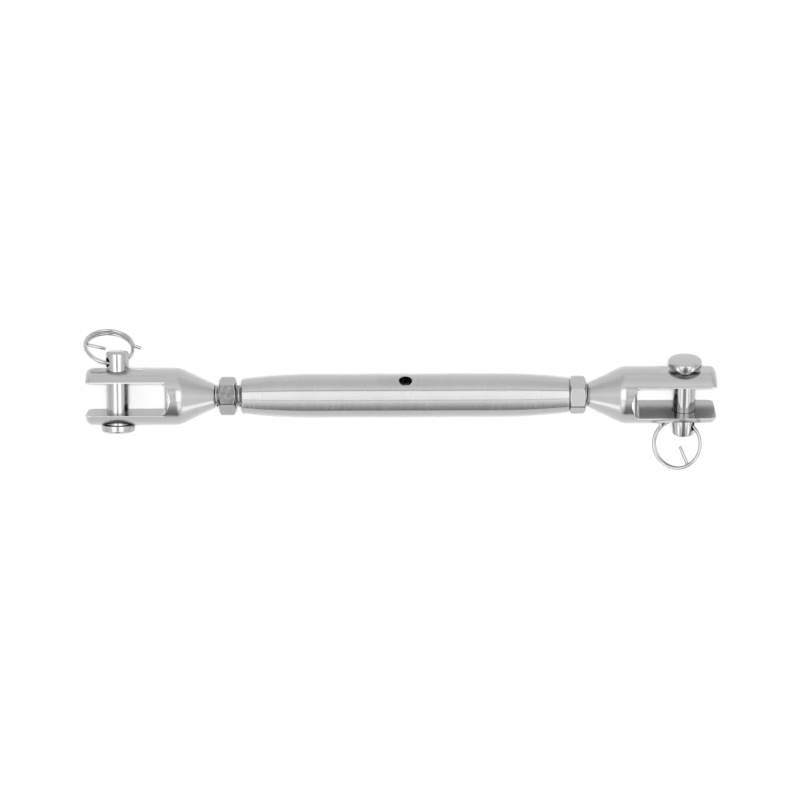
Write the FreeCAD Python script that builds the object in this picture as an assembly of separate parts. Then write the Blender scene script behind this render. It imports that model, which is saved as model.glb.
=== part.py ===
"""Closed-body turnbuckle with two clevis forks.

A long round barrel with a left-hand thread in one end and a right-hand
thread in the other draws two forks together or lets them apart.  Each fork is
one turned piece: a slotted round jaw, a cone and a threaded stud.  A hexagonal
lock nut sits on each stud.  A headed clevis pin crosses each jaw, and a sprung
wire ring through the pin's cross hole keeps it in.

Millimetres.  X runs along the barrel's axis, Z points up from the surface that
the turnbuckle lies on, and the origin is the middle of the barrel, on its axis.
"""
import FreeCAD, Part
import math
import os
from FreeCAD import Matrix, Placement, Rotation, Vector

os.makedirs("parts", exist_ok=True)

# ---------------------------------------------------------------- dimensions
# Barrel
BARREL_HALF = 88.8          # half its length
BARREL_R = 11.6
BARREL_STRAIGHT = 50.0      # half the length of the straight middle
BARREL_END_R = 9.15         # where its taper would end without the chamfer
BARREL_CHAMFER = 0.6
TAP_R = 6.0                 # tapped bore, to the thread's major radius
TAP_LEN = 26.0
RELIEF_R = 6.7              # bore between the tapped ends
TOMMY_R = 3.6               # cross hole for a bar
TOMMY_ANGLE = 43.7          # its axis, from the top towards +Y

# Forks, measured from the pin's axis towards the barrel
FORK_R = 15.3
FORK_ARM_END = -16.8
FORK_END_ROUND = 3.0
SLOT_W = 17.6
SLOT_END = 26.3
SLOT_CORNER = 2.6
THROAT_R = 4.4              # rounding of the slot's end, straight across
THROAT_W = 11.2             # where it starts, from the axis
SHOULDER = 33.7
SHOULDER_ROUND = 10.0
CONE_END = 52.5
CONE_END_R = 6.1
STUD_R = 5.95               # thread's crest
STUD_END = 140.5
STUD_CHAMFER = 0.9
FLAT_U = 14.8               # crown flats under the pin's head and ring
FLAT_TO = 13.9
SLOT_BREAK = 0.55           # polished edge break round the slot
PIN_HOLE_R = 6.05
PIN_HOLE_CHAMFER = 0.45

# Lock nuts
NUT_AF = 17.9
NUT_FACE_R = 8.5            # radius of the face inside the corner chamfer
NUT_CHAMFER = 30.0
NUT_BORE = 6.0
NUT_MOUTH = 0.6

# Clevis pins
PIN_R = 6.0
PIN_LEN = 39.7              # from the head's inner face to the tail's end
HEAD_R = 8.95
HEAD_T = 4.1
PIN_CHAMFER = 0.7
RING_HOLE_R = 2.6
RING_HOLE_FROM_END = 5.4

# Cotter rings
WIRE_R = 0.85
RING_R = 13.0               # centre line of the coil
RING_PITCH = 2.35           # from one coil's centre line to the next
RAMP_FROM, RAMP_TO = 232.0, 352.0   # where the wire climbs to the next coil
COIL_TURN = 511.0
TAIL_BEND_R = 1.9
TAIL_BEND = 97.0
TAIL_LEN = 9.3
TIP_BEND_R = 2.2
TIP_BEND = 60.0
TIP_LEN = 3.3

# Where the pieces stand.  A ring's lean is its axis's slope in x and y, and its
# turn is the angle at which the inner tail meets the coil.
LEFT = dict(
    pin_x=-155.9, roll=9.0, tail=+1, hole=19.06, hole_angle=25.1,
    ring_centre=(-161.08, 25.985, -4.28), ring_lean=(0.152, 1.254), ring_turn=161.1,
)
RIGHT = dict(
    pin_x=151.0, roll=24.0, tail=-1, hole=17.65, hole_angle=24.1,
    ring_centre=(148.11, -26.95, -9.78), ring_lean=(-0.37, -0.11), ring_turn=-72.4,
)
LEFT_NUT = (-100.7, -91.8, 4.0)      # from, to, roll of the face nearest the top
RIGHT_NUT = (88.85, 97.4, -11.0)


def wire(edges):
    return Part.Wire(Part.__sortEdges__(edges))


def cylinder(radius, start, end):
    """A solid cylinder between two points."""
    along = end.sub(start)
    return Part.makeCylinder(radius, along.Length, start, along)


# -------------------------------------------------------------------- barrel
def turned_barrel():
    """The barrel as turned: a straight middle, and a long arc down to each end."""
    drop = BARREL_R - BARREL_END_R
    run = BARREL_HALF - BARREL_STRAIGHT
    radius = (run * run + drop * drop) / (2 * drop)

    def taper(x):
        at = math.asin((x - BARREL_STRAIGHT) / radius)
        return BARREL_R - radius * (1 - math.cos(at))

    start = BARREL_HALF - BARREL_CHAMFER    # where the end's chamfer meets the arc
    middle = (BARREL_STRAIGHT + start) / 2
    line = Part.makeLine
    edges = []
    for side in (-1, 1):
        edges.append(Part.Arc(
            Vector(side * start, 0, taper(start)),
            Vector(side * middle, 0, taper(middle)),
            Vector(side * BARREL_STRAIGHT, 0, BARREL_R),
        ).toShape())
        rim = Vector(side * BARREL_HALF, 0, taper(start) - BARREL_CHAMFER)
        edges.append(line(Vector(side * start, 0, taper(start)), rim))
        edges.append(line(rim, Vector(side * BARREL_HALF, 0, 0)))
    edges.append(line(Vector(-BARREL_STRAIGHT, 0, BARREL_R), Vector(BARREL_STRAIGHT, 0, BARREL_R)))
    edges.append(line(Vector(-BARREL_HALF, 0, 0), Vector(BARREL_HALF, 0, 0)))
    return Part.Face(wire(edges)).revolve(Vector(0, 0, 0), Vector(1, 0, 0), 360)


def make_barrel():
    solid = turned_barrel()
    x = Vector(1, 0, 0)
    solid = solid.cut(cylinder(TAP_R, x * -100, x * 100))
    inner = BARREL_HALF - TAP_LEN
    solid = solid.cut(cylinder(RELIEF_R, x * -inner, x * inner))
    mouth = TAP_R + 0.6
    for side in (-1, 1):
        solid = solid.cut(
            Part.makeCone(mouth + 1.0, TAP_R, mouth + 1.0 - TAP_R,
                          x * (side * (BARREL_HALF + 1.0)), x * -side)
        )
    angle = math.radians(TOMMY_ANGLE)
    along = Vector(0, math.sin(angle), math.cos(angle))
    solid = solid.cut(cylinder(TOMMY_R, along * -20, along * 20))
    return solid.removeSplitter()


# --------------------------------------------------------------------- forks
def rounded_rect(x0, x1, y0, y1, radius, z):
    """A face in the XY plane at height z, its corners at x1 rounded."""
    k = radius * (1 - math.sqrt(0.5))
    p = [
        Vector(x0, y0, z), Vector(x1 - radius, y0, z), Vector(x1, y0 + radius, z),
        Vector(x1, y1 - radius, z), Vector(x1 - radius, y1, z), Vector(x0, y1, z),
    ]
    edges = [
        Part.makeLine(p[0], p[1]),
        Part.Arc(p[1], Vector(x1 - k, y0 + k, z), p[2]).toShape(),
        Part.makeLine(p[2], p[3]),
        Part.Arc(p[3], Vector(x1 - k, y1 - k, z), p[4]).toShape(),
        Part.makeLine(p[4], p[5]),
        Part.makeLine(p[5], p[0]),
    ]
    return Part.Face(Part.Wire(edges))


def turned_fork():
    """The fork as turned, before milling: local x towards the barrel."""
    slope = math.atan((FORK_R - CONE_END_R) / (CONE_END - SHOULDER))
    t = SHOULDER_ROUND * math.tan(slope / 2)
    a = Vector(SHOULDER - t, 0, FORK_R)
    b = Vector(SHOULDER + t * math.cos(slope), 0, FORK_R - t * math.sin(slope))
    m = Vector(
        SHOULDER - t + SHOULDER_ROUND * math.sin(slope / 2), 0,
        FORK_R - SHOULDER_ROUND * (1 - math.cos(slope / 2)),
    )
    e, r = FORK_ARM_END, FORK_END_ROUND
    k = r * (1 - math.sqrt(0.5))
    line, arc = Part.makeLine, lambda *p: Part.Arc(*p).toShape()
    pts = [
        Vector(e, 0, 0), Vector(e, 0, FORK_R - r), Vector(e + r, 0, FORK_R), a, b,
        Vector(CONE_END, 0, CONE_END_R), Vector(CONE_END, 0, STUD_R),
        Vector(STUD_END - STUD_CHAMFER, 0, STUD_R),
        Vector(STUD_END, 0, STUD_R - STUD_CHAMFER), Vector(STUD_END, 0, 0),
    ]
    edges = [
        line(pts[0], pts[1]),
        arc(pts[1], Vector(e + k, 0, FORK_R - k), pts[2]),
        line(pts[2], pts[3]),
        arc(pts[3], m, pts[4]),
        line(pts[4], pts[5]), line(pts[5], pts[6]), line(pts[6], pts[7]),
        line(pts[7], pts[8]), line(pts[8], pts[9]), line(pts[9], pts[0]),
    ]
    face = Part.Face(Part.Wire(edges))
    return face.revolve(Vector(0, 0, 0), Vector(1, 0, 0), 360)


def make_fork_local():
    fork = turned_fork()
    # crown flats
    for side in (-1, 1):
        flat = Part.makeBox(60, 40, 10, Vector(FLAT_TO - 60, -20, FLAT_U))
        flat.rotate(Vector(0, 0, 0), Vector(1, 0, 0), -90 * side)
        fork = fork.cut(flat)
    # slot
    slot = rounded_rect(-40, SLOT_END, -SLOT_W / 2, SLOT_W / 2, SLOT_CORNER, -30)
    fork = fork.cut(slot.extrude(Vector(0, 0, 60)))
    # the slot's end, rounded over towards the fork's outside
    edge = SLOT_END + THROAT_R
    for side in (-1, 1):
        low = THROAT_W if side > 0 else -THROAT_W - 12
        rounding = Part.makeBox(THROAT_R + 4, SLOT_W, 12, Vector(SLOT_END - 4, -SLOT_W / 2, low))
        rounding = rounding.cut(cylinder(
            THROAT_R, Vector(edge, -20, side * THROAT_W), Vector(edge, 20, side * THROAT_W)
        ))
        fork = fork.cut(rounding)
    # pin holes and their edge breaks on all four faces
    y = Vector(0, 1, 0)
    fork = fork.cut(cylinder(PIN_HOLE_R, y * -30, y * 30))
    c = PIN_HOLE_CHAMFER
    for side in (-1, 1):
        for at, into in ((SLOT_W / 2, side), (FLAT_U, -side)):
            fork = fork.cut(
                Part.makeCone(PIN_HOLE_R + c, PIN_HOLE_R, c, y * (side * at), y * into)
            )
    return fork.removeSplitter()


def fork_placement(spec):
    turn = Rotation(Vector(1, 0, 0), spec["roll"])
    if spec["pin_x"] > 0:
        turn = turn.multiply(Rotation(Vector(0, 1, 0), 180))
    return Placement(Vector(spec["pin_x"], 0, 0), turn)


def make_fork(spec):
    fork = break_edges(make_fork_local())
    fork.Placement = fork_placement(spec)
    return fork


def break_edges(fork):
    """Rounds the edges where the slot's inner faces meet the fork's outside."""
    half = SLOT_W / 2
    chosen = []
    for e in fork.Edges:
        box = e.BoundBox
        inner = (
            abs(abs(box.YMin) - half) < 0.02
            and abs(abs(box.YMax) - half) < 0.02
            and box.YMin * box.YMax > 0
        )
        if not inner:
            continue
        # long edges along the arms' sides, and the arms' ends
        side = min(abs(box.ZMin), abs(box.ZMax)) > 12.0 and box.XLength > 5
        end = box.XMax < FORK_ARM_END + 0.05 and box.ZLength > 5
        corner = box.XMax < FORK_ARM_END + FORK_END_ROUND + 0.1 and box.ZLength < 5
        if side or end or corner:
            chosen.append(e)
    return fork.makeFillet(SLOT_BREAK, chosen)


# ---------------------------------------------------------------------- nuts
def make_nut(low, high, roll):
    length = high - low
    corner = NUT_AF / 2 / math.cos(math.radians(30))
    pts = []
    for n in range(7):
        angle = math.radians(60 * n + 30 + roll)
        pts.append(Vector(low, corner * math.sin(angle), corner * math.cos(angle)))
    nut = Part.Face(Part.makePolygon(pts)).extrude(Vector(length, 0, 0))
    rise = (corner + 1 - NUT_FACE_R) * math.tan(math.radians(NUT_CHAMFER))
    outline = [
        Vector(low, 0, 0), Vector(low, 0, NUT_FACE_R), Vector(low + rise, 0, corner + 1),
        Vector(high - rise, 0, corner + 1), Vector(high, 0, NUT_FACE_R), Vector(high, 0, 0),
        Vector(low, 0, 0),
    ]
    turned = Part.Face(Part.makePolygon(outline)).revolve(
        Vector(0, 0, 0), Vector(1, 0, 0), 360
    )
    nut = nut.common(turned)
    x = Vector(1, 0, 0)
    nut = nut.cut(cylinder(NUT_BORE, x * (low - 1), x * (high + 1)))
    for at, way in ((low, 1), (high, -1)):
        nut = nut.cut(
            Part.makeCone(NUT_BORE + NUT_MOUTH, NUT_BORE, NUT_MOUTH, x * at, x * way)
        )
    return nut


# --------------------------------------------------------------------- frames
def frame_of(spec):
    """(the pin's axis point, its unit vector towards the tail, and the jaw's
    other cross direction, which points up)."""
    t = math.radians(spec["roll"])
    u = Vector(0, math.cos(t), math.sin(t))
    w = Vector(0, -math.sin(t), math.cos(t))
    return Vector(spec["pin_x"], 0, 0), u * spec["tail"], w


def cross_direction(spec, angle):
    """The direction in which a wire passes the pin, out of the mouth that shows
    from above."""
    _, _, w = frame_of(spec)
    side = 1 if spec["pin_x"] > 0 else -1
    a = math.radians(angle)
    return Vector(side * math.cos(a), 0, 0).add(w * math.sin(a))


# ---------------------------------------------------------------------- pins
def make_pin(spec):
    at, tail, _ = frame_of(spec)
    end = spec["hole"] + RING_HOLE_FROM_END
    seat = end - PIN_LEN        # head's inner face, on the other side of the axis
    top = seat - HEAD_T
    line, arc = Part.makeLine, lambda *p: Part.Arc(*p).toShape()

    def p(along, r):
        return Vector(r, 0, along)

    rim = 0.9
    dome = 0.35
    k = rim * (1 - math.sqrt(0.5))
    pts = [
        p(top, 0), p(top + dome, HEAD_R - rim), p(top + dome + rim, HEAD_R),
        p(seat - 0.2, HEAD_R), p(seat, HEAD_R - 0.2), p(seat, PIN_R),
        p(end - PIN_CHAMFER, PIN_R), p(end, PIN_R - PIN_CHAMFER), p(end, 0),
    ]
    middle = p(top + dome * 0.27, (HEAD_R - rim) * 0.52)
    edges = [
        arc(pts[0], middle, pts[1]),
        arc(pts[1], p(top + dome + k, HEAD_R - k), pts[2]),
    ]
    edges += [line(pts[n], pts[n + 1]) for n in range(2, 8)]
    edges.append(line(pts[8], pts[0]))
    pin = Part.Face(Part.Wire(edges)).revolve(Vector(0, 0, 0), Vector(0, 0, 1), 360)
    pin.Placement = Placement(at, Rotation(Vector(0, 0, 1), tail))
    hole = at.add(tail * spec["hole"])
    along = cross_direction(spec, spec["hole_angle"])
    pin = pin.cut(cylinder(RING_HOLE_R, hole.sub(along * 10), hole.add(along * 10)))
    return pin


# --------------------------------------------------------------------- rings
def coil_point(turn):
    """A point of the coil's centre line, in the ring's own plane.  The wire runs
    clockwise seen from the side that it climbs to."""
    k = min(max((turn - RAMP_FROM) / (RAMP_TO - RAMP_FROM), 0.0), 1.0)
    a = math.radians(turn)
    return Vector(
        RING_R * math.cos(a), -RING_R * math.sin(a), RING_PITCH * k * k * (3 - 2 * k)
    )


def coil_direction(turn):
    step = 0.01
    along = coil_point(turn + step).sub(coil_point(turn - step))
    return along.normalize()


def ring_path():
    """The wire's centre line: inner tail, bend, coil, bend, outer tip."""
    line, arc = Part.makeLine, lambda *p: Part.Arc(*p).toShape()
    edges = []
    # inner tail, a straight leg from near the centre, and its bend into the coil
    cx = RING_R - TAIL_BEND_R
    b = math.radians(TAIL_BEND)

    def bend(angle):
        return Vector(cx + TAIL_BEND_R * math.cos(angle), TAIL_BEND_R * math.sin(angle), 0)

    way = Vector(math.sin(b), -math.cos(b), 0)
    edges.append(line(bend(b).sub(way * TAIL_LEN), bend(b)))
    edges.append(arc(bend(b), bend(b / 2), bend(0)))
    # flat arcs of the first coil
    stops = [0, RAMP_FROM / 3, 2 * RAMP_FROM / 3, RAMP_FROM]
    for low, high in zip(stops, stops[1:]):
        edges.append(arc(coil_point(low), coil_point((low + high) / 2), coil_point(high)))
    # the climb
    third = (RAMP_TO - RAMP_FROM) / 3
    for n in range(3):
        low, high = RAMP_FROM + third * n, RAMP_FROM + third * (n + 1)
        curve = Part.BSplineCurve()
        curve.interpolate(
            Points=[coil_point(low + (high - low) * k / 6) for k in range(7)],
            InitialTangent=coil_direction(low), FinalTangent=coil_direction(high),
        )
        edges.append(curve.toShape())
    # flat arcs of the second coil
    span = COIL_TURN - RAMP_TO
    stops = [RAMP_TO, RAMP_TO + span / 2, COIL_TURN]
    for low, high in zip(stops, stops[1:]):
        edges.append(arc(coil_point(low), coil_point((low + high) / 2), coil_point(high)))
    # outer tip, bent away from the coil
    end = coil_point(COIL_TURN)
    a = math.radians(COIL_TURN)
    out = Vector(math.cos(a), -math.sin(a), 0)
    along = Vector(-math.sin(a), -math.cos(a), 0)

    def tip(angle):
        return end.add(along * (TIP_BEND_R * math.sin(angle))).add(
            out * (TIP_BEND_R * (1 - math.cos(angle)))
        )

    top = math.radians(TIP_BEND)
    edges.append(arc(end, tip(top / 2), tip(top)))
    way = (along * math.cos(top)).add(out * math.sin(top))
    edges.append(line(tip(top), tip(top).add(way * TIP_LEN)))
    return Part.Wire(edges)


def ring_placement(spec):
    lean = spec["ring_lean"]
    normal = Vector(lean[0], lean[1], 1).normalize()
    x = Vector(1, 0, 0)
    ex = x.sub(normal * normal.dot(x)).normalize()
    ey = normal.cross(ex)
    turn = math.radians(spec["ring_turn"])
    e1 = (ex * math.cos(turn)).add(ey * math.sin(turn))
    e2 = normal.cross(e1)
    at = spec["ring_centre"]
    return Placement(Matrix(
        e1.x, e2.x, normal.x, at[0],
        e1.y, e2.y, normal.y, at[1],
        e1.z, e2.z, normal.z, at[2],
        0, 0, 0, 1,
    ))


def make_ring(spec):
    path = ring_path()
    first = path.OrderedEdges[0]
    start = first.valueAt(first.FirstParameter)
    way = first.tangentAt(first.FirstParameter)
    section = Part.Wire([Part.makeCircle(WIRE_R, start, way)])
    ring = path.makePipeShell([section], True, False)
    ring.Placement = ring_placement(spec)
    return ring


# ---------------------------------------------------------------------- write
def main():
    solids = {
        "barrel": make_barrel(),
        "left_fork": make_fork(LEFT),
        "right_fork": make_fork(RIGHT),
        "left_lock_nut": make_nut(*LEFT_NUT),
        "right_lock_nut": make_nut(*RIGHT_NUT),
        "left_clevis_pin": make_pin(LEFT),
        "right_clevis_pin": make_pin(RIGHT),
        "left_cotter_ring": make_ring(LEFT),
        "right_cotter_ring": make_ring(RIGHT),
    }
    for name, shape in solids.items():
        if shape.ShapeType != "Solid" and len(shape.Solids) == 1:
            shape = shape.Solids[0]
        box = shape.BoundBox
        print(
            f"{name}: {shape.ShapeType} valid {shape.isValid()} "
            f"volume {shape.Volume:.1f} box "
            f"{box.XMin:.2f} {box.YMin:.2f} {box.ZMin:.2f} "
            f"{box.XMax:.2f} {box.YMax:.2f} {box.ZMax:.2f}"
        )
        solids[name] = shape
        shape.exportStep(f"parts/{name}.step")
    return solids


main()
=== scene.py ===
"""A turnbuckle with two clevis forks, lying on a pale table, seen from above.

Lengths in the builders below are millimetres, and the meshes are scaled to
metres when they are made.
"""
import math
import bmesh
import bpy
from mathutils import Matrix, Vector


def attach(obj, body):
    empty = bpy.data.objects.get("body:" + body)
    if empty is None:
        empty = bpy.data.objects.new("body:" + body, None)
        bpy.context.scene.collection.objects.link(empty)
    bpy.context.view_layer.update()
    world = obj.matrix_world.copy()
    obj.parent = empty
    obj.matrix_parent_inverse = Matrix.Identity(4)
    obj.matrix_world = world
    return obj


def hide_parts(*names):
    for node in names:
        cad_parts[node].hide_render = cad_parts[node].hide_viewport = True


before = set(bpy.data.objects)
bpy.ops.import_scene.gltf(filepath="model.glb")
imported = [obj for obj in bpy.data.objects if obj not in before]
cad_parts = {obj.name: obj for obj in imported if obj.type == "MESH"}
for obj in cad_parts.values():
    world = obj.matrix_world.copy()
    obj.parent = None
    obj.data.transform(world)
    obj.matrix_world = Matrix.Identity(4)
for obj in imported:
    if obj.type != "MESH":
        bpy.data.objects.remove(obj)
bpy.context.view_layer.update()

MM = 0.001

# ------------------------------------------------------------------ sizes
BARREL_HALF, BARREL_R = 88.8, 11.6
BARREL_STRAIGHT, BARREL_END_R, BARREL_CHAMFER = 50.0, 9.15, 0.6
TAP_R, TAP_LEN, RELIEF_R = 6.0, 26.0, 6.7
TOMMY_R, TOMMY_ANGLE = 3.6, 43.7

FORK_R, FORK_ARM_END, FORK_END_ROUND = 15.3, -16.8, 3.0
SLOT_W, SLOT_END, SLOT_CORNER = 17.6, 26.3, 2.6
SHOULDER, SHOULDER_ROUND, CONE_END, CONE_END_R = 33.7, 10.0, 52.5, 6.1
STUD_R, STUD_END, STUD_CHAMFER = 5.95, 140.5, 0.9
FLAT_U, FLAT_TO = 14.8, 13.9
THROAT_W, THROAT_R = 11.2, 4.4
PIN_HOLE_R, PIN_HOLE_CHAMFER = 6.05, 0.45
THREAD_PITCH, THREAD_DEPTH = 1.75, 0.95

NUT_AF, NUT_FACE_R, NUT_CHAMFER, NUT_BORE, NUT_MOUTH = 17.9, 8.5, 30.0, 6.0, 0.6

PIN_R, PIN_LEN, HEAD_R, HEAD_T, PIN_CHAMFER = 6.0, 39.7, 8.95, 4.1, 0.7
RING_HOLE_R, RING_HOLE_FROM_END = 2.6, 5.4

WIRE_R, RING_R, RING_PITCH = 0.85, 13.0, 2.35
RAMP_FROM, RAMP_TO, COIL_TURN = 232.0, 352.0, 511.0
TAIL_BEND_R, TAIL_BEND, TAIL_LEN = 1.9, 97.0, 9.3
TIP_BEND_R, TIP_BEND, TIP_LEN = 2.2, 60.0, 3.3

LEFT = dict(
    pin_x=-155.9, roll=9.0, tail=+1, hole=19.06, hole_angle=25.1, hand=+1,
    ring_centre=(-161.08, 25.985, -4.28), ring_lean=(0.152, 1.254), ring_turn=161.1,
)
RIGHT = dict(
    pin_x=151.0, roll=24.0, tail=-1, hole=17.65, hole_angle=24.1, hand=-1,
    ring_centre=(148.11, -26.95, -9.78), ring_lean=(-0.37, -0.11), ring_turn=-72.4,
)
LEFT_NUT = (-100.7, -91.8, 4.0)
RIGHT_NUT = (88.85, 97.4, -11.0)
TABLE = -15.3


# ---------------------------------------------------------------- helpers
def new_object(name, verts, faces, matrix=None):
    mesh = bpy.data.meshes.new(name)
    mesh.from_pydata([tuple(v) for v in verts], [], faces)
    ob = bpy.data.objects.new(name, mesh)
    bpy.context.scene.collection.objects.link(ob)
    if matrix is not None:
        mesh.transform(matrix)
    return ob


def tidy(ob, merge=1e-4):
    bm = bmesh.new()
    bm.from_mesh(ob.data)
    bmesh.ops.remove_doubles(bm, verts=bm.verts, dist=merge)
    bmesh.ops.recalc_face_normals(bm, faces=bm.faces)
    bm.to_mesh(ob.data)
    bm.free()


def revolve(name, profile, segments=160):
    """A closed solid turned about X from (x, r) points; the first and last lie
    on the axis."""
    verts, faces = [], []
    inner = profile[1:-1]
    verts.append((profile[0][0], 0, 0))
    for x, r in inner:
        for k in range(segments):
            a = 2 * math.pi * k / segments
            verts.append((x, r * math.cos(a), r * math.sin(a)))
    verts.append((profile[-1][0], 0, 0))
    last = len(verts) - 1
    n = len(inner)
    for k in range(segments):
        j = (k + 1) % segments
        faces.append((0, 1 + j, 1 + k))
        for i in range(n - 1):
            a, b = 1 + i * segments, 1 + (i + 1) * segments
            faces.append((a + k, a + j, b + j, b + k))
        e = 1 + (n - 1) * segments
        faces.append((e + k, e + j, last))
    ob = new_object(name, verts, faces)
    tidy(ob)
    return ob


def arc_points(cx, cy, r, a0, a1, n):
    out = []
    for k in range(n + 1):
        a = math.radians(a0 + (a1 - a0) * k / n)
        out.append((cx + r * math.cos(a), cy + r * math.sin(a)))
    return out


def extrude_outline(name, outline, low, high, matrix=None):
    """A prism on an outline of (x, y) points from z low to z high."""
    n = len(outline)
    verts = [(x, y, low) for x, y in outline] + [(x, y, high) for x, y in outline]
    faces = [tuple(reversed(range(n))), tuple(range(n, 2 * n))]
    for k in range(n):
        j = (k + 1) % n
        faces.append((k, j, n + j, n + k))
    ob = new_object(name, verts, faces, matrix)
    tidy(ob)
    return ob


def cylinder(name, radius, start, end, segments=96):
    start, end = Vector(start), Vector(end)
    length = (end - start).length
    ob = revolve(name, [(0, 0), (0, radius), (length, radius), (length, 0)], segments)
    turn = Vector((1, 0, 0)).rotation_difference((end - start).normalized()).to_matrix()
    ob.data.transform(Matrix.Translation(start) @ turn.to_4x4())
    return ob


def cone(name, r0, r1, start, end, segments=96):
    start, end = Vector(start), Vector(end)
    length = (end - start).length
    ob = revolve(name, [(0, 0), (0, r0), (length, r1), (length, 0)], segments)
    turn = Vector((1, 0, 0)).rotation_difference((end - start).normalized()).to_matrix()
    ob.data.transform(Matrix.Translation(start) @ turn.to_4x4())
    return ob


def boolean(ob, others, operation="DIFFERENCE"):
    for other in others:
        mod = ob.modifiers.new("cut", "BOOLEAN")
        mod.operation = operation
        mod.solver = "EXACT"
        mod.object = other
        apply_modifiers(ob)
        bpy.data.objects.remove(other)
    return ob


def apply_modifiers(ob):
    graph = bpy.context.evaluated_depsgraph_get()
    graph.update()
    mesh = bpy.data.meshes.new_from_object(ob.evaluated_get(graph))
    ob.modifiers.clear()
    ob.data = mesh


def bevel(ob, width, segments=3, angle=30.0):
    bm = bmesh.new()
    bm.from_mesh(ob.data)
    bmesh.ops.remove_doubles(bm, verts=bm.verts, dist=2e-3)
    bmesh.ops.dissolve_degenerate(bm, edges=bm.edges, dist=1e-4)
    bmesh.ops.dissolve_limit(
        bm, angle_limit=math.radians(0.4), verts=bm.verts, edges=bm.edges,
        delimit={"SHARP"},
    )
    bm.to_mesh(ob.data)
    bm.free()
    mod = ob.modifiers.new("edges", "BEVEL")
    mod.width = width
    mod.segments = segments
    mod.limit_method = "ANGLE"
    mod.angle_limit = math.radians(angle)
    mod.use_clamp_overlap = True
    mod.harden_normals = False
    mod.miter_outer = "MITER_ARC"
    apply_modifiers(ob)


def finish_mesh(ob, smooth=28.0, weighted=True):
    ob.data.polygons.foreach_set("use_smooth", [True] * len(ob.data.polygons))
    ob.data.update()
    ob.data.set_sharp_from_angle(angle=math.radians(smooth))
    if weighted:
        mod = ob.modifiers.new("normals", "WEIGHTED_NORMAL")
        mod.keep_sharp = True
        mod.weight = 60
        apply_modifiers(ob)


def join(target, others):
    bm = bmesh.new()
    bm.from_mesh(target.data)
    for other in others:
        bm.from_mesh(other.data)
    bm.to_mesh(target.data)
    bm.free()
    for other in others:
        bpy.data.objects.remove(other)


# ----------------------------------------------------------------- barrel
def taper(x):
    drop, run = BARREL_R - BARREL_END_R, BARREL_HALF - BARREL_STRAIGHT
    radius = (run * run + drop * drop) / (2 * drop)
    return BARREL_R - radius * (1 - math.cos(math.asin(max(0.0, x - BARREL_STRAIGHT) / radius)))


def make_barrel():
    half = [(12.5 * k, BARREL_R) for k in range(0, 5)]
    last = BARREL_HALF - BARREL_CHAMFER - 0.1
    half += [(x, taper(x)) for x in
             (BARREL_STRAIGHT + (last - BARREL_STRAIGHT) * k / 30 for k in range(1, 31))]
    end = taper(last)
    half += [(last + 0.06, end - 0.02), (last + 0.13, end - 0.09),
             (BARREL_HALF - 0.10, end - BARREL_CHAMFER + 0.02),
             (BARREL_HALF - 0.03, end - BARREL_CHAMFER - 0.06),
             (BARREL_HALF, end - BARREL_CHAMFER - 0.14), (BARREL_HALF, 6.75),
             (BARREL_HALF - 0.75, TAP_R), (BARREL_HALF - TAP_LEN, TAP_R),
             (BARREL_HALF - TAP_LEN - 0.7, RELIEF_R), (0.0, RELIEF_R)]
    line = half + [(-x, r) for x, r in reversed(half[1:-1])]
    verts, faces = [], []
    around = 192
    for x, r in line:
        for k in range(around):
            a = 2 * math.pi * k / around
            verts.append((x, r * math.sin(a), r * math.cos(a)))
    rows = len(line)
    for i in range(rows):
        p, q = i * around, ((i + 1) % rows) * around
        for k in range(around):
            j = (k + 1) % around
            faces.append((p + k, p + j, q + j, q + k))
    ob = new_object("barrel_body", verts, faces)
    tidy(ob, 1e-4)
    angle = math.radians(TOMMY_ANGLE)
    along = Vector((0, math.sin(angle), math.cos(angle)))
    boolean(ob, [cylinder("cut_tommy", TOMMY_R, along * -20, along * 20, 120)])
    mod = ob.modifiers.new("edges", "BEVEL")
    mod.width = 0.16
    mod.segments = 3
    mod.limit_method = "ANGLE"
    mod.angle_limit = math.radians(50)
    apply_modifiers(ob)
    ob.data.transform(Matrix.Scale(MM, 4))
    finish_mesh(ob, 32.0, weighted=False)
    return ob


# ------------------------------------------------------------------ forks
def fork_profile():
    slope = math.atan((FORK_R - CONE_END_R) / (CONE_END - SHOULDER))
    t = SHOULDER_ROUND * math.tan(slope / 2)
    e, r = FORK_ARM_END, FORK_END_ROUND
    pts = [(e, 0.0)]
    pts += arc_points(e + r, FORK_R - r, r, 180, 90, 12)
    pts += [(x, FORK_R) for x in (-8.0, 2.0, 12.0, 20.0, 26.0)]
    pts += [
        (x, y) for x, y in arc_points(
            SHOULDER - t, FORK_R - SHOULDER_ROUND, SHOULDER_ROUND, 90,
            90 - math.degrees(slope), 8,
        )
    ]
    pts += [
        (CONE_END - 6.0, CONE_END_R + 6.0 * math.tan(slope)),
        (CONE_END - 0.45, CONE_END_R + 0.45 * math.tan(slope)),
        (CONE_END - 0.12, CONE_END_R + 0.02),
        (CONE_END, CONE_END_R - 0.2), (CONE_END, 0.0),
    ]
    return pts


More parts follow.
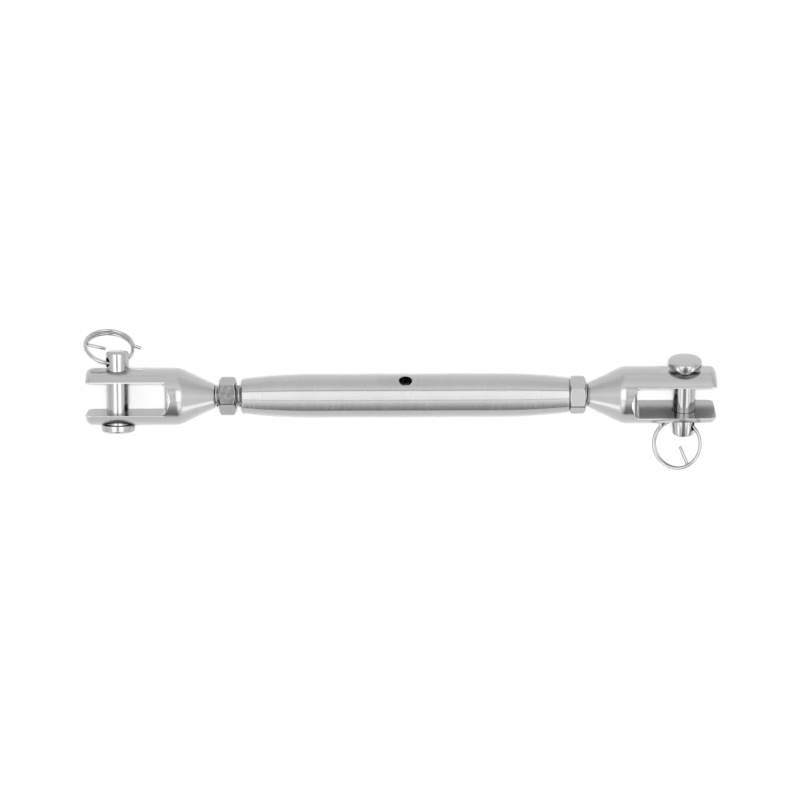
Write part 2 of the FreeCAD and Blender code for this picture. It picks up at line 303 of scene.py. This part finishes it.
def thread(name, start, stop, hand, crest, depth, matrix=None, steps=44):
    """A helical ridge about X between start and stop."""
    pitch = THREAD_PITCH
    rows = [(0.0, crest - depth), (0.06, crest - depth), (0.42, crest - 0.03),
            (0.47, crest), (0.59, crest), (0.64, crest - 0.03)]
    turns = int((stop - start) / pitch)
    verts, faces = [], []
    per = len(rows)
    columns = turns * steps + 1
    for c in range(columns):
        a = 2 * math.pi * c / steps
        x0 = start + pitch * c / steps
        for share, r in rows + [(1.0, crest - depth)]:
            verts.append((x0 + share * pitch, r * math.cos(a), hand * r * math.sin(a)))
    wide = per + 1
    for c in range(columns - 1):
        for k in range(per):
            a = c * wide + k
            b = (c + 1) * wide + k
            faces.append((a, b, b + 1, a + 1))
    ob = new_object(name, verts, faces, matrix)
    tidy(ob, 2e-3)
    return ob


def make_fork(name, spec):
    fork = revolve(name, fork_profile(), 180)
    cutters = []
    # slot
    w = SLOT_W / 2
    r = SLOT_CORNER
    outline = [(-40.0, -w)]
    outline += arc_points(SLOT_END - r, -w + r, r, -90, 0, 10)
    outline += arc_points(SLOT_END - r, w - r, r, 0, 90, 10)
    outline += [(-40.0, w)]
    cutters.append(extrude_outline("cut_slot", outline, -30, 30))
    # crown flats
    for side in (1, -1):
        y0, y1 = sorted((side * FLAT_U, side * 30))
        cutters.append(
            extrude_outline("cut_flat", [(-40, y0), (FLAT_TO, y0), (FLAT_TO, y1), (-40, y1)], -20, 20)
        )
    # the slot's end, rounded over towards the fork's outside
    for side in (1, -1):
        arc = [(-4.0, 0.0)]
        for k in range(17):
            g = math.radians(90 * k / 16)
            arc.append((THROAT_R * (1 - math.cos(g)), THROAT_R * math.sin(g)))
        arc += [(THROAT_R, 9.0), (-4.0, 9.0)]
        verts, faces = [], []
        n = len(arc)
        across = [w * (k / 12 - 1) for k in range(25)]
        for y in across:
            turn = max(0.0, abs(y) - (w - r))
            back = r - math.sqrt(max(0.0, r * r - turn * turn))
            for x, z in arc:
                verts.append((SLOT_END - back + x, y, side * (THROAT_W + z)))
        for i in range(len(across) - 1):
            for k in range(n):
                j = (k + 1) % n
                faces.append((i * n + k, i * n + j, (i + 1) * n + j, (i + 1) * n + k))
        faces.append(tuple(range(n)))
        faces.append(tuple(range((len(across) - 1) * n, len(across) * n)))
        rounding = new_object("cut_throat", verts, faces)
        tidy(rounding, 1e-5)
        cutters.append(rounding)
    # pin hole
    cutters.append(cylinder("cut_pin", PIN_HOLE_R, (0, -30, 0), (0, 30, 0), 96))
    boolean(fork, cutters)
    bevel(fork, 0.5, 4, 24.0)
    finish_mesh(fork, 40.0)
    stud = thread(name + "_thread", CONE_END - 2.2, STUD_END - 1.9, spec["hand"],
                  STUD_R, THREAD_DEPTH)
    core = revolve(
        name + "_core",
        [(CONE_END - 2, 0), (CONE_END - 2, STUD_R - THREAD_DEPTH - 0.02),
         (STUD_END - 0.6, STUD_R - THREAD_DEPTH - 0.02), (STUD_END, STUD_R - THREAD_DEPTH - 0.6),
         (STUD_END, 0)], 48,
    )
    finish_mesh(stud, 30.0, weighted=False)
    finish_mesh(core, 30.0, weighted=False)
    join(fork, [stud, core])
    turn = Matrix.Rotation(math.radians(spec["roll"]), 4, "X")
    if spec["pin_x"] > 0:
        turn = turn @ Matrix.Rotation(math.pi, 4, "Y")
    fork.data.transform(Matrix.Scale(MM, 4) @ Matrix.Translation((spec["pin_x"], 0, 0)) @ turn)
    return fork


# ------------------------------------------------------------------- nuts
def make_nut(name, low, high, roll, hand):
    corner = NUT_AF / 2 / math.cos(math.radians(30))
    verts, faces = [], []
    for x in (low, high):
        for n in range(6):
            a = math.radians(60 * n + 30 + roll)
            verts.append((x, corner * math.sin(a), corner * math.cos(a)))
    faces.append(tuple(range(6)))
    faces.append(tuple(reversed(range(6, 12))))
    for n in range(6):
        m = (n + 1) % 6
        faces.append((n, m, 6 + m, 6 + n))
    nut = new_object(name, verts, faces)
    tidy(nut)
    rise = (corner + 1 - NUT_FACE_R) * math.tan(math.radians(NUT_CHAMFER))
    turned = revolve(
        "cut_turned",
        [(low, 0), (low, NUT_FACE_R), (low + rise, corner + 1), (high - rise, corner + 1),
         (high, NUT_FACE_R), (high, 0)], 120,
    )
    boolean(nut, [turned], "INTERSECT")
    cutters = [cylinder("cut_bore", NUT_BORE, (low - 1, 0, 0), (high + 1, 0, 0), 72)]
    for at, way in ((low, 1), (high, -1)):
        cutters.append(
            cone("cut_mouth", NUT_BORE + NUT_MOUTH + 0.3, NUT_BORE - 0.1,
                 (at - way * 0.3, 0, 0), (at + way * (NUT_MOUTH + 0.1), 0, 0), 72)
        )
    boolean(nut, cutters)
    bevel(nut, 0.28, 3, 20.0)
    finish_mesh(nut, 35.0)
    nut.data.transform(Matrix.Scale(MM, 4))
    return nut


# ------------------------------------------------------------- directions
def frame_of(spec):
    t = math.radians(spec["roll"])
    u = Vector((0, math.cos(t), math.sin(t)))
    w = Vector((0, -math.sin(t), math.cos(t)))
    return Vector((spec["pin_x"], 0, 0)), u * spec["tail"], w


def cross_direction(spec, angle):
    _, _, w = frame_of(spec)
    side = 1 if spec["pin_x"] > 0 else -1
    a = math.radians(angle)
    return Vector((side * math.cos(a), 0, 0)) + w * math.sin(a)


# ------------------------------------------------------------------- pins
def make_pin(name, spec):
    at, tail, _ = frame_of(spec)
    end = spec["hole"] + RING_HOLE_FROM_END
    seat = end - PIN_LEN
    top = seat - HEAD_T
    rim, dome = 0.9, 0.35
    profile = [(top, 0.0)]
    for k in range(1, 9):
        r = (HEAD_R - rim) * k / 8
        profile.append((top + dome * (r / (HEAD_R - rim)) ** 2, r))
    profile += arc_points(top + dome + rim, HEAD_R - rim, rim, 180, 90, 8)[1:]
    profile += [(seat - 0.3, HEAD_R), (seat - 0.09, HEAD_R - 0.09), (seat, HEAD_R - 0.3)]
    profile += [(seat, PIN_R + 0.2), (seat + 0.06, PIN_R + 0.06), (seat + 0.2, PIN_R)]
    profile += [(x, PIN_R) for x in (seat + 9, 0.0, end - 9, end - PIN_CHAMFER - 0.15)]
    profile += [(end - PIN_CHAMFER, PIN_R - 0.05), (end - 0.12, PIN_R - PIN_CHAMFER + 0.05),
                (end, PIN_R - PIN_CHAMFER - 0.15), (end, 0.0)]
    pin = revolve(name, profile, 144)
    turn = Vector((1, 0, 0)).rotation_difference(tail).to_matrix().to_4x4()
    pin.data.transform(Matrix.Translation(at) @ turn)
    hole = at + tail * spec["hole"]
    along = cross_direction(spec, spec["hole_angle"])
    cutters = [cylinder("cut_ring_hole", RING_HOLE_R, hole - along * 10, hole + along * 10, 72)]
    boolean(pin, cutters)
    pin.data.transform(Matrix.Scale(MM, 4))
    finish_mesh(pin, 32.0, weighted=False)
    return pin


# ------------------------------------------------------------------ rings
def coil_point(turn):
    k = min(max((turn - RAMP_FROM) / (RAMP_TO - RAMP_FROM), 0.0), 1.0)
    a = math.radians(turn)
    return Vector((RING_R * math.cos(a), -RING_R * math.sin(a), RING_PITCH * k * k * (3 - 2 * k)))


def ring_line():
    cx = RING_R - TAIL_BEND_R
    b = math.radians(TAIL_BEND)

    def bend(angle):
        return Vector((cx + TAIL_BEND_R * math.cos(angle), TAIL_BEND_R * math.sin(angle), 0))

    way = Vector((math.sin(b), -math.cos(b), 0))
    pts = [bend(b) - way * TAIL_LEN, bend(b) - way * (TAIL_LEN / 2)]
    pts += [bend(b * (1 - k / 10)) for k in range(0, 10)]
    pts += [coil_point(COIL_TURN * k / 170) for k in range(0, 171)]
    end = coil_point(COIL_TURN)
    a = math.radians(COIL_TURN)
    out = Vector((math.cos(a), -math.sin(a), 0))
    along = Vector((-math.sin(a), -math.cos(a), 0))
    top = math.radians(TIP_BEND)

    def tip(angle):
        return (end + along * (TIP_BEND_R * math.sin(angle))
                + out * (TIP_BEND_R * (1 - math.cos(angle))))

    pts += [tip(top * k / 8) for k in range(1, 9)]
    way = along * math.cos(top) + out * math.sin(top)
    pts += [tip(top) + way * (TIP_LEN / 2), tip(top) + way * TIP_LEN]
    return pts


def make_ring(name, spec):
    pts = ring_line()
    sides = 20
    verts, faces = [], []
    n = len(pts)
    tangents = []
    for i in range(n):
        a, b = pts[max(0, i - 1)], pts[min(n - 1, i + 1)]
        tangents.append((b - a).normalized())
    rows = []
    for i in range(n):
        rows.append((pts[i], tangents[i], WIRE_R))
    # rounded ends
    edge = 0.22
    rows[0:1] = [(pts[0], tangents[0], WIRE_R - edge), (pts[0] + tangents[0] * edge * 0.35, tangents[0], WIRE_R - edge * 0.3),
                 (pts[0] + tangents[0] * edge, tangents[0], WIRE_R)]
    rows[-1:] = [(pts[-1] - tangents[-1] * edge, tangents[-1], WIRE_R),
                 (pts[-1] - tangents[-1] * edge * 0.35, tangents[-1], WIRE_R - edge * 0.3),
                 (pts[-1], tangents[-1], WIRE_R - edge)]
    up = Vector((0, 0, 1))
    for p, t, r in rows:
        side = t.cross(up).normalized()
        top = side.cross(t).normalized()
        for k in range(sides):
            a = 2 * math.pi * k / sides
            verts.append(p + side * (r * math.cos(a)) + top * (r * math.sin(a)))
    m = len(rows)
    for i in range(m - 1):
        for k in range(sides):
            j = (k + 1) % sides
            faces.append((i * sides + k, i * sides + j, (i + 1) * sides + j, (i + 1) * sides + k))
    faces.append(tuple(reversed(range(sides))))
    faces.append(tuple(range((m - 1) * sides, m * sides)))
    lean = spec["ring_lean"]
    normal = Vector((lean[0], lean[1], 1)).normalized()
    x = Vector((1, 0, 0))
    ex = (x - normal * normal.dot(x)).normalized()
    ey = normal.cross(ex)
    turn = math.radians(spec["ring_turn"])
    e1 = ex * math.cos(turn) + ey * math.sin(turn)
    e2 = normal.cross(e1)
    at = spec["ring_centre"]
    place = Matrix((
        (e1.x, e2.x, normal.x, at[0]), (e1.y, e2.y, normal.y, at[1]),
        (e1.z, e2.z, normal.z, at[2]), (0, 0, 0, 1),
    ))
    ring = new_object(name, verts, faces, Matrix.Scale(MM, 4) @ place)
    tidy(ring, 1e-7)
    finish_mesh(ring, 40.0, weighted=False)
    return ring


# -------------------------------------------------------------- materials
def nodes_of(name):
    mat = bpy.data.materials.new(name)
    mat.use_nodes = True
    tree = mat.node_tree
    return mat, tree, tree.nodes["Principled BSDF"]


def ramp(tree, source, stops):
    node = tree.nodes.new("ShaderNodeValToRGB")
    while len(node.color_ramp.elements) > 1:
        node.color_ramp.elements.remove(node.color_ramp.elements[-1])
    node.color_ramp.elements[0].position = stops[0][0]
    node.color_ramp.elements[0].color = grey(stops[0][1])
    for at, value in stops[1:]:
        e = node.color_ramp.elements.new(at)
        e.color = grey(value)
    tree.links.new(source, node.inputs[0])
    return node.outputs["Color"]


def calc(tree, operation, *values):
    node = tree.nodes.new("ShaderNodeMath")
    node.operation = operation
    for slot, value in enumerate(values):
        if isinstance(value, (int, float)):
            node.inputs[slot].default_value = value
        else:
            tree.links.new(value, node.inputs[slot])
    return node.outputs[0]


def step(tree, value, low, high):
    """0 below low, 1 above high and straight between (low may be the greater)."""
    share = calc(tree, "DIVIDE", calc(tree, "SUBTRACT", value, low), high - low)
    return calc(tree, "MINIMUM", calc(tree, "MAXIMUM", share, 0.0), 1.0)


def dot(tree, xyz, along):
    total = calc(tree, "MULTIPLY", xyz[0], float(along[0]))
    total = calc(tree, "MULTIPLY_ADD", xyz[1], float(along[1]), total)
    return calc(tree, "MULTIPLY_ADD", xyz[2], float(along[2]), total)


def product(tree, first, *rest):
    for value in rest:
        first = calc(tree, "MULTIPLY", first, value)
    return first


def grey(v):
    return (v, v, v, 1.0) if not isinstance(v, tuple) else (*v, 1.0)


def noise(tree, coords, scale, stretch=(1, 1, 1), detail=3.0, rough=0.55):
    mapping = tree.nodes.new("ShaderNodeMapping")
    mapping.inputs["Scale"].default_value = stretch
    tree.links.new(coords, mapping.inputs["Vector"])
    tex = tree.nodes.new("ShaderNodeTexNoise")
    tex.inputs["Scale"].default_value = scale
    tex.inputs["Detail"].default_value = detail
    tex.inputs["Roughness"].default_value = rough
    tree.links.new(mapping.outputs["Vector"], tex.inputs["Vector"])
    return tex.outputs["Fac"]


def bump(tree, shader, height, distance, strength):
    node = tree.nodes.new("ShaderNodeBump")
    node.inputs["Strength"].default_value = strength
    node.inputs["Distance"].default_value = distance
    tree.links.new(height, node.inputs["Height"])
    tree.links.new(node.outputs["Normal"], shader.inputs["Normal"])


def steel(name, tone, rough, spread=0.05, mottle=0.03, blur=(900.0, (1, 1, 1)),
          bump_height=0.00002, bump_strength=0.12, aniso=0.0, place_tones=None):
    mat, tree, shader = nodes_of(name)
    coords = tree.nodes.new("ShaderNodeTexCoord").outputs["Object"]
    shader.inputs["Metallic"].default_value = 1.0
    fine = noise(tree, coords, blur[0], blur[1], 4.0)
    large = noise(tree, coords, 60.0, (1, 1, 1), 3.0)
    colour = ramp(tree, large, [
        (0.3, tuple(c * (1 - mottle) for c in tone)), (0.7, tuple(min(1, c * (1 + mottle)) for c in tone)),
    ])
    roughness = ramp(tree, fine, [(0.3, max(0.02, rough - spread)), (0.7, rough + spread)])
    # colour and roughness changed by place on the part, painted light and shade among them
    if place_tones:
        colour, roughness = place_tones(tree, coords, colour, roughness)
    tree.links.new(colour, shader.inputs["Base Color"])
    tree.links.new(roughness, shader.inputs["Roughness"])
    if bump_strength:
        bump(tree, shader, fine, bump_height, bump_strength)
    if aniso:
        shader.inputs["Anisotropic"].default_value = aniso
        shader.inputs["Anisotropic Rotation"].default_value = 0.25
        tangent = tree.nodes.new("ShaderNodeTangent")
        tangent.direction_type = "RADIAL"
        tangent.axis = "X"
        tree.links.new(tangent.outputs["Tangent"], shader.inputs["Tangent"])
    return mat


def parts_of(tree, vector):
    node = tree.nodes.new("ShaderNodeSeparateXYZ")
    tree.links.new(vector, node.inputs[0])
    return node.outputs


def fork_polish_and_painted_light(tree, coords, colour, roughness):
    """Painted light on the forks: painted highlights on the polished breaks along the slot's edges and
    over its end, which are also glossier; painted shade on the slot's inner walls and in a dark line round
    each pin hole.
    """
    place = parts_of(tree, coords)
    normal = parts_of(tree, tree.nodes.new("ShaderNodeNewGeometry").outputs["Normal"])
    shares = []
    for spec in (LEFT, RIGHT):
        side = 1 if spec["pin_x"] < 0 else -1
        _, _, w = frame_of(spec)
        t = math.radians(spec["roll"])
        u = (0.0, math.cos(t), math.sin(t))
        along = calc(tree, "MULTIPLY_ADD", place[0], float(side), -side * spec["pin_x"] * MM)
        cross = calc(tree, "ABSOLUTE", dot(tree, place, u))
        high = calc(tree, "ABSOLUTE", dot(tree, place, w))
        tilt = calc(tree, "ABSOLUTE", normal[0])
        lens = product(
            tree, step(tree, along, 0.0258, 0.0260), step(tree, along, 0.0297, 0.0292),
            step(tree, tilt, 0.12, 0.30), step(tree, high, 0.0112, 0.0116),
        )
        edge = product(
            tree, step(tree, along, 0.0262, 0.0258), step(tree, cross, 0.00882, 0.00886),
            step(tree, cross, 0.00942, 0.00930), step(tree, high, 0.0112, 0.0116),
            step(tree, along, -0.018, -0.0175),
        )
        shares.append(calc(tree, "MAXIMUM", lens, edge))
    share = calc(tree, "MAXIMUM", *shares)
    # painted shade on the slot's inner walls, darker on the left fork than on the right
    walls = []
    for spec in (LEFT, RIGHT):
        t = math.radians(spec["roll"])
        u = (0.0, math.cos(t), math.sin(t))
        here = step(tree, place[0], *((0.001, -0.001) if spec["pin_x"] < 0 else (-0.001, 0.001)))
        cross = calc(tree, "ABSOLUTE", dot(tree, place, u))
        flat = calc(tree, "ABSOLUTE", dot(tree, normal, u))
        out = calc(tree, "SUBTRACT", place[0], spec["pin_x"] * MM)
        high = dot(tree, place, frame_of(spec)[2])
        out = calc(tree, "SQRT", calc(tree, "ADD", calc(tree, "MULTIPLY", out, out),
                                      calc(tree, "MULTIPLY", high, high)))
        walls.append(product(tree, here, step(tree, out, 0.00652, 0.00668),
                             step(tree, cross, 0.00883, 0.00881),
                             step(tree, cross, 0.0086, 0.0087), step(tree, flat, 0.9, 0.97)))
    # painted shade: a dark line round each pin hole
    for spec in (LEFT, RIGHT):
        _, _, w = frame_of(spec)
        aside = calc(tree, "SUBTRACT", place[0], spec["pin_x"] * MM)
        high = dot(tree, place, w)
        reach = calc(tree, "SQRT", calc(tree, "ADD", calc(tree, "MULTIPLY", aside, aside),
                                        calc(tree, "MULTIPLY", high, high)))
        colour = mix(tree, step(tree, reach, 0.00668, 0.00652), colour, (0.12, 0.12, 0.12))
    # painted wall shade: 0.21 on the left fork, 0.40 on the right
    colour = mix(tree, walls[0], colour, (0.21, 0.21, 0.215))
    colour = mix(tree, walls[1], colour, (0.40, 0.40, 0.405))
    # painted highlight: the polished breaks' colour raised to 0.86, with their roughness lowered for the
    # real polish
    return mix(tree, share, colour, (0.86, 0.86, 0.86)), mix(tree, share, roughness, (0.12, 0.12, 0.12))


def nut_painted_shade_and_highlight(tree, coords, colour, roughness):
    """Tones painted on the nuts: the left nut a little darker all over, with painted shade on its top
    face, darker and spotted;
    a painted highlight on the right nut's middle top facet and painted shade on its lower facet; and a
    dark line of painted shade along one edge of each nut's top."""
    place = parts_of(tree, coords)
    left = step(tree, place[0], 0.001, -0.001)
    right = step(tree, place[0], -0.001, 0.001)
    top = step(tree, place[2], 0.002, 0.003)
    # painted shade: the left nut's top face darker, with random spots
    face = product(tree, left, top, step(tree, place[1], -0.0046, -0.0043),
                   step(tree, place[1], 0.0058, 0.0054))
    spots = noise(tree, coords, 420.0, (1, 1, 1), 3.0)
    face_painted_shade = ramp(tree, spots, [(0.35, 0.24), (0.65, 0.33)])
    # the whole left nut a little darker
    colour = mix(tree, product(tree, left, 0.75), colour, (0.338, 0.338, 0.343))
    colour = mix(tree, face, colour, face_painted_shade)
    # painted highlight on the right nut's middle top facet
    middle = product(tree, right, top, step(tree, place[1], -0.0067, -0.0063),
                     step(tree, place[1], 0.0034, 0.0030), 0.8)
    colour = mix(tree, middle, colour, (0.525, 0.525, 0.53))
    # painted shade on the right nut's lower facet
    lower = product(tree, right, step(tree, place[1], -0.0067, -0.0070), 0.8)
    colour = mix(tree, lower, colour, (0.355, 0.355, 0.36))
    # painted shade: a dark line along one edge of each nut's top
    for which, edge in ((left, -0.00455), (right, -0.0067)):
        off = calc(tree, "ABSOLUTE", calc(tree, "SUBTRACT", place[1], edge))
        line = product(tree, which, top, step(tree, off, 0.00042, 0.00028))
        colour = mix(tree, line, colour, (0.16, 0.16, 0.16))
    return colour, roughness


def barrel_smear_and_hole_shade(tree, coords, colour, roughness):
    """A faint smear beside the cross hole, left by a bar, and painted shade inside the cross hole."""
    place = parts_of(tree, coords)
    spots = noise(tree, coords, 300.0, (0.5, 1, 1), 3.0)
    off_x = calc(tree, "DIVIDE", calc(tree, "ADD", place[0], 0.0085), 0.0085)
    off_y = calc(tree, "DIVIDE", calc(tree, "SUBTRACT", place[1], 0.0079), 0.0028)
    away = calc(tree, "SQRT", calc(tree, "ADD", calc(tree, "MULTIPLY", off_x, off_x),
                                   calc(tree, "MULTIPLY", off_y, off_y)))
    top = step(tree, place[2], 0.002, 0.003)
    share = product(tree, step(tree, away, 1.1, 0.4), top, step(tree, spots, 0.25, 0.75), 0.55)
    off_x = calc(tree, "DIVIDE", calc(tree, "SUBTRACT", place[0], 0.001), 0.0062)
    off_y = calc(tree, "DIVIDE", calc(tree, "SUBTRACT", place[1], 0.0079), 0.0055)
    away = calc(tree, "SQRT", calc(tree, "ADD", calc(tree, "MULTIPLY", off_x, off_x),
                                   calc(tree, "MULTIPLY", off_y, off_y)))
    ring = calc(tree, "ABSOLUTE", calc(tree, "SUBTRACT", away, 1.0))
    arc = product(tree, step(tree, ring, 0.09, 0.03), top, step(tree, place[0], 0.003, 0.005), 0.25)
    share = calc(tree, "MAXIMUM", share, arc)
    colour = mix(tree, share, colour, (0.34, 0.34, 0.345))
    # painted shade inside the cross hole
    angle = math.radians(TOMMY_ANGLE)
    aside = dot(tree, place, (0.0, math.cos(angle), -math.sin(angle)))
    off = calc(tree, "SQRT", calc(tree, "ADD", calc(tree, "MULTIPLY", place[0], place[0]),
                                  calc(tree, "MULTIPLY", aside, aside)))
    reach = calc(tree, "SQRT", calc(tree, "ADD", calc(tree, "MULTIPLY", place[1], place[1]),
                                    calc(tree, "MULTIPLY", place[2], place[2])))
    hole_shade = product(tree, step(tree, off, 0.00375, 0.00365), step(tree, reach, 0.01125, 0.0108))
    return mix(tree, hole_shade, colour, (0.20, 0.20, 0.20)), roughness


def mix(tree, share, a, b):
    """a where share is 0 and b where it is 1."""
    node = tree.nodes.new("ShaderNodeMix")
    node.data_type = "RGBA"
    tree.links.new(share, node.inputs["Factor"])
    for socket, value in ((node.inputs[6], a), (node.inputs[7], b)):
        if isinstance(value, tuple):
            socket.default_value = (*value, 1.0)
        else:
            tree.links.new(value, socket)
    return node.outputs[2]


# --------------------------------------------------------------- assembly
pieces = {
    "barrel": (make_barrel(), "barrel_steel"),
    "left_fork": (make_fork("left_fork_body", LEFT), "fork_steel"),
    "right_fork": (make_fork("right_fork_body", RIGHT), "fork_steel"),
    "left_lock_nut": (make_nut("left_nut_body", *LEFT_NUT, 1), "nut_steel"),
    "right_lock_nut": (make_nut("right_nut_body", *RIGHT_NUT, -1), "nut_steel"),
    "left_clevis_pin": (make_pin("left_pin_body", LEFT), "pin_steel"),
    "right_clevis_pin": (make_pin("right_pin_body", RIGHT), "pin_steel"),
    "left_cotter_ring": (make_ring("left_ring_wire", LEFT), "ring_steel"),
    "right_cotter_ring": (make_ring("right_ring_wire", RIGHT), "ring_steel"),
}
finishes = {
    "barrel_steel": steel("barrel_steel", (0.45, 0.45, 0.455), 0.25, 0.03, 0.02,
                          (40.0, (26, 1.6, 1.6)), 0.00003, 0.16, aniso=1.0, place_tones=barrel_smear_and_hole_shade),
    "fork_steel": steel("fork_steel", (0.445, 0.445, 0.45), 0.20, 0.03, 0.02, (700.0, (1, 1, 1)),
                        0.00002, 0.05, place_tones=fork_polish_and_painted_light),
    "nut_steel": steel("nut_steel", (0.445, 0.445, 0.45), 0.20, 0.05, 0.04, (500.0, (1, 1, 1)),
                       0.00003, 0.12, place_tones=nut_painted_shade_and_highlight),
    "pin_steel": steel("pin_steel", (0.43, 0.43, 0.435), 0.09, 0.02, 0.015, (500.0, (1, 1, 1)),
                       0.00001, 0.03),
    "ring_steel": steel("ring_steel", (0.44, 0.44, 0.44), 0.14, 0.04, 0.03, (700.0, (1, 1, 1)),
                        0.00001, 0.05),
}
for node, (ob, slot) in pieces.items():
    ob.data.materials.clear()
    ob.data.materials.append(finishes[slot])
    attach(ob, node)
    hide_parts(node)

# ------------------------------------------------------------------ table
bpy.ops.mesh.primitive_plane_add(size=8.0, location=(0, 0, (TABLE - 0.12) * MM))
table = bpy.context.object
table.name = "table"
mat, tree, shader = nodes_of("table_white")
shader.inputs["Base Color"].default_value = (0.88, 0.88, 0.88, 1)
shader.inputs["Roughness"].default_value = 0.7
shader.inputs["Specular IOR Level"].default_value = 0.15
table.data.materials.append(mat)

# a plain pale backdrop behind the table, for views from low down
bpy.ops.mesh.primitive_uv_sphere_add(segments=96, ring_count=48, radius=7.0)
backdrop = bpy.context.object
backdrop.name = "backdrop"
bpy.ops.object.shade_smooth()
mat, tree, shader = nodes_of("backdrop_pale")
shader.inputs["Base Color"].default_value = (0.0, 0.0, 0.0, 1)
shader.inputs["Specular IOR Level"].default_value = 0.0
shader.inputs["Emission Color"].default_value = (1.0, 1.0, 1.0, 1)
shader.inputs["Emission Strength"].default_value = 0.86
backdrop.data.materials.append(mat)
backdrop.visible_diffuse = False
backdrop.visible_glossy = False
backdrop.visible_transmission = False
backdrop.visible_shadow = False

# ------------------------------------------------------------------- room
# The metal shows a studio round it: a wide overhead panel with a dark gap down
# its middle, darker walls, and two lamps low in front.  The floor has its own
# light from overhead.
world = bpy.data.worlds.new("studio")
bpy.context.scene.world = world
world.use_nodes = True
world.cycles_visibility.diffuse = False
tree = world.node_tree
tree.nodes.clear()
out = tree.nodes.new("ShaderNodeOutputWorld")
back = tree.nodes.new("ShaderNodeBackground")
tree.links.new(back.outputs[0], out.inputs[0])
coords = tree.nodes.new("ShaderNodeTexCoord")
split = tree.nodes.new("ShaderNodeSeparateXYZ")
tree.links.new(coords.outputs["Generated"], split.inputs[0])


def maths(operation, *values):
    return calc(tree, operation, *values)


x, y, z = split.outputs
up = maths("MAXIMUM", z, 0.0001)
# angles from the zenith, to the right and to the far side, as shares of 180
across = maths("MULTIPLY_ADD", maths("ARCTAN2", x, up), 1 / math.pi, 0.5)
deep = maths("MULTIPLY_ADD", maths("ARCTAN2", y, up), 1 / math.pi, 0.5)


def at(degrees):
    return 0.5 + degrees / 180


def curve(source, stops):
    """A tone that follows an angle: (degrees, value) pairs, up to 4."""
    tone = ramp(tree, source, [(at(a), v / 4) for a, v in stops])
    return maths("MULTIPLY", tone, 4.0)


def blend(a, b, share):
    """a where share is 0 and b where it is 1."""
    return maths("MULTIPLY_ADD", maths("SUBTRACT", b, a), share, a)


panel = curve(deep, [
    (-88, 0.24), (-84, 0.66), (-78, 1.02), (-65, 1.32), (-51, 1.65), (-38, 1.95), (-30, 2.05),
    (-28.8, 0.90), (-25.2, 0.90), (-24.2, 2.45), (24.2, 2.35), (25.2, 0.50), (28.8, 0.50),
    (30, 1.38), (40, 1.28), (55, 1.10), (70, 1.06), (80, 1.15), (88, 1.28),
])
# the panel's two dark seams end short of its ends
plain = curve(deep, [
    (-88, 0.24), (-84, 0.66), (-78, 1.02), (-65, 1.36), (-51, 1.90), (-38, 2.15), (-24, 2.25),
    (0, 2.40), (18, 2.20), (30, 1.38), (40, 1.28), (55, 1.10), (70, 1.06), (80, 1.15), (88, 1.28),
])
wide = maths("ABSOLUTE", maths("SUBTRACT", across, 0.5))
panel = blend(panel, plain, step(tree, wide, 28 / 180, 40 / 180))
sides = curve(across, [
    (-88, 0.46), (-64, 0.46), (-44, 0.56), (-35, 1.0), (35, 1.0), (44, 0.56), (64, 0.46), (88, 0.46),
])
depth = curve(deep, [(-50, 0.75), (-30, 1.0), (22, 1.0), (32, 0.35)])
gap = curve(deep, [
    (-88, 0.20), (-68, 0.27), (-58, 0.36), (-50, 0.46), (-42, 0.72), (-34, 1.02), (-30, 1.10),
    (-28.8, 0.70), (-25.2, 0.70), (-24.2, 1.30), (-19, 1.15), (-12, 0.70), (6, 0.70), (14, 0.9),
    (24.2, 1.00), (25.2, 0.50), (28.8, 0.50), (30, 1.38),
])
# the gap widens towards the front
lean = step(tree, deep, at(0), at(-48))
off = maths("ABSOLUTE", x)
inner = maths("MULTIPLY_ADD", lean, 0.11, 0.075)
outer = maths("MULTIPLY_ADD", lean, 0.15, 0.145)
share = maths("DIVIDE", maths("SUBTRACT", outer, off), maths("SUBTRACT", outer, inner))
share = maths("MINIMUM", maths("MAXIMUM", share, 0.0), 1.0)
in_gap = maths("MULTIPLY", share, maths("LESS_THAN", deep, at(30)))

tone = blend(panel, maths("MULTIPLY", panel, sides), depth)
tone = blend(tone, gap, in_gap)
for side in (1, -1):
    for direction, inner, outer, bright in (
        ((side * 0.66, -0.75, 0.04), 11, 26, 1.40), ((side * 0.70, -0.68, 0.22), 2, 11, 2.5),
        ((side * 0.48, -0.69, 0.55), 3, 9, 2.1),
    ):
        lamp = Vector(direction).normalized()
        near = dot(tree, (x, y, z), lamp)
        share = step(tree, near, math.cos(math.radians(outer)), math.cos(math.radians(inner)))
        tone = blend(tone, bright, share)
tree.links.new(tone, back.inputs["Strength"])
back.inputs["Color"].default_value = (1.0, 1.0, 1.0, 1.0)

light = bpy.data.lights.new("overhead", "POINT")
light.energy = 152.0
light.shadow_soft_size = 0.10
overhead = bpy.data.objects.new("overhead", light)
bpy.context.scene.collection.objects.link(overhead)
overhead.location = (-0.0030, -0.0025, 2.1)
overhead.visible_glossy = False
overhead.visible_camera = False
light = bpy.data.lights.new("overhead_soft", "SUN")
light.energy = 1.30
light.angle = math.radians(80)
soft = bpy.data.objects.new("overhead_soft", light)
bpy.context.scene.collection.objects.link(soft)
soft.visible_glossy = False

# ----------------------------------------------------------------- camera
data = bpy.data.cameras.new("camera")
camera = bpy.data.objects.new("camera", data)
bpy.context.scene.collection.objects.link(camera)
data.sensor_width = 36.0
data.lens = 36.0 * 2000.0 / (800 / 1.845)
data.clip_start, data.clip_end = 0.05, 30.0
camera.location = (-0.0030, -0.0025, 2.0)
camera.rotation_euler = (0.0, 0.0, math.radians(-0.2))
bpy.context.scene.camera = camera

bpy.context.scene.view_settings.view_transform = "Standard"
bpy.context.scene.view_settings.look = "None"
